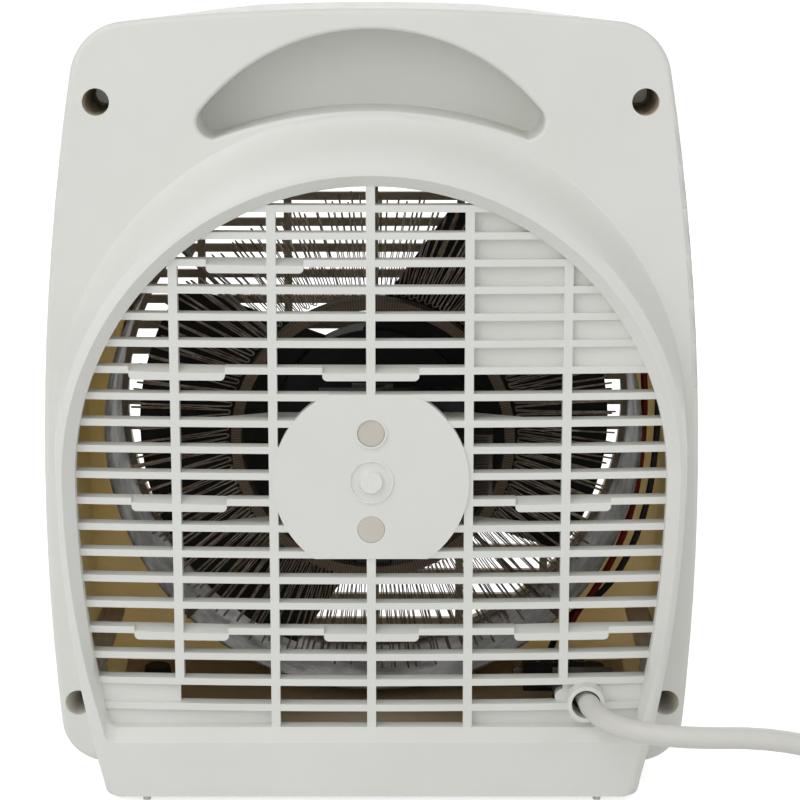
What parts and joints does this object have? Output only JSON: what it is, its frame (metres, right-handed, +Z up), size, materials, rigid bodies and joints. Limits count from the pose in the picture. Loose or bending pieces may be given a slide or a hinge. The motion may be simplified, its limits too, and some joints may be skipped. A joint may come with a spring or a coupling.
{
  "type": "portable fan heater",
  "caption": "Upright portable fan heater: white casing with handle recess, arched slatted rear intake, round front outlet, motor fan, wire heating element, turning dials and mains cord.",
  "frame": {"origin": "on the floor under the middle of the heater, cord left out", "axes": "+Z up, +Y towards the warm-air outlet, -Y towards the intake grille, +X to the right as seen from the rear"},
  "size_m": [0.3808, 0.1795, 0.2585],
  "materials": {
    "casing_white": "satin moulded",
    "galvanised_steel": "galvanised sheet",
    "lamination_steel": "stamped stack",
    "winding": "taped copper winding",
    "bracket_alloy": "die cast",
    "bronze": "sintered",
    "bright_steel": "zinc plated",
    "fan_black": "moulded",
    "cap_beige": "moulded",
    "mica": "pressed mica sheet",
    "resistance_wire": "drawn wire",
    "component_black": "moulded",
    "knob_grey": "satin moulded",
    "lens_amber": "clear tinted",
    "foot_rubber": "matt",
    "lead_blue": "soft sleeve",
    "lead_red": "soft sleeve",
    "lead_dark": "soft sleeve",
    "cord_white": "smooth sheath",
    "tie_white": "flexible strap",
    "brass_pins": "nickel plated"
  },
  "bodies": {
    "casing": {"rear_cover": "casing_white", "front_casing": "casing_white", "front_grille": "casing_white", "outlet_duct": "galvanised_steel", "motor_core": "lamination_steel", "motor_coil": "winding", "motor_rear_bracket": "bracket_alloy", "motor_front_bracket": "bracket_alloy", "motor_bearings": "bronze", "motor_screws": "bright_steel", "motor_screw_caps": "cap_beige", "element_frame": "mica", "element_wire_rear": "resistance_wire", "element_wire_front": "resistance_wire", "thermal_cutout": "component_black", "thermostat_body": "component_black", "selector_body": "component_black", "indicator_lens": "lens_amber", "case_screws": "bright_steel", "front_feet": "foot_rubber", "terminal_block": "component_black", "cord_clamp": "casing_white", "clamp_screws": "bright_steel", "supply_leads": "lead_blue", "red_lead": "lead_red", "dark_lead": "lead_dark", "power_cord": "cord_white", "cord_coil": "cord_white", "cord_tie": "tie_white", "plug_body": "cord_white", "plug_pins": "brass_pins"},
    "fan_rotor": {"fan": "fan_black", "fan_nut": "bronze", "motor_shaft": "bright_steel", "motor_rotor": "lamination_steel"},
    "thermostat_dial": {"thermostat_knob": "knob_grey", "thermostat_spindle": "bright_steel"},
    "selector_dial": {"selector_knob": "knob_grey", "selector_spindle": "bright_steel"}
  },
  "joints": [
    {"name": "fan_spin", "type": "hinge", "parent": "casing", "child": "fan_rotor", "pos_m": [0, 0, 0.1085], "axis": [0, 1, 0], "continuous": true},
    {"name": "thermostat_turn", "type": "hinge", "parent": "casing", "child": "thermostat_dial", "pos_m": [0.062, 0.05, 0.227], "axis": [0, -1, 0], "range_deg": [0, 270]},
    {"name": "selector_turn", "type": "hinge", "parent": "casing", "child": "selector_dial", "pos_m": [-0.062, 0.05, 0.227], "axis": [0, -1, 0], "range_deg": [0, 135]}
  ]
}
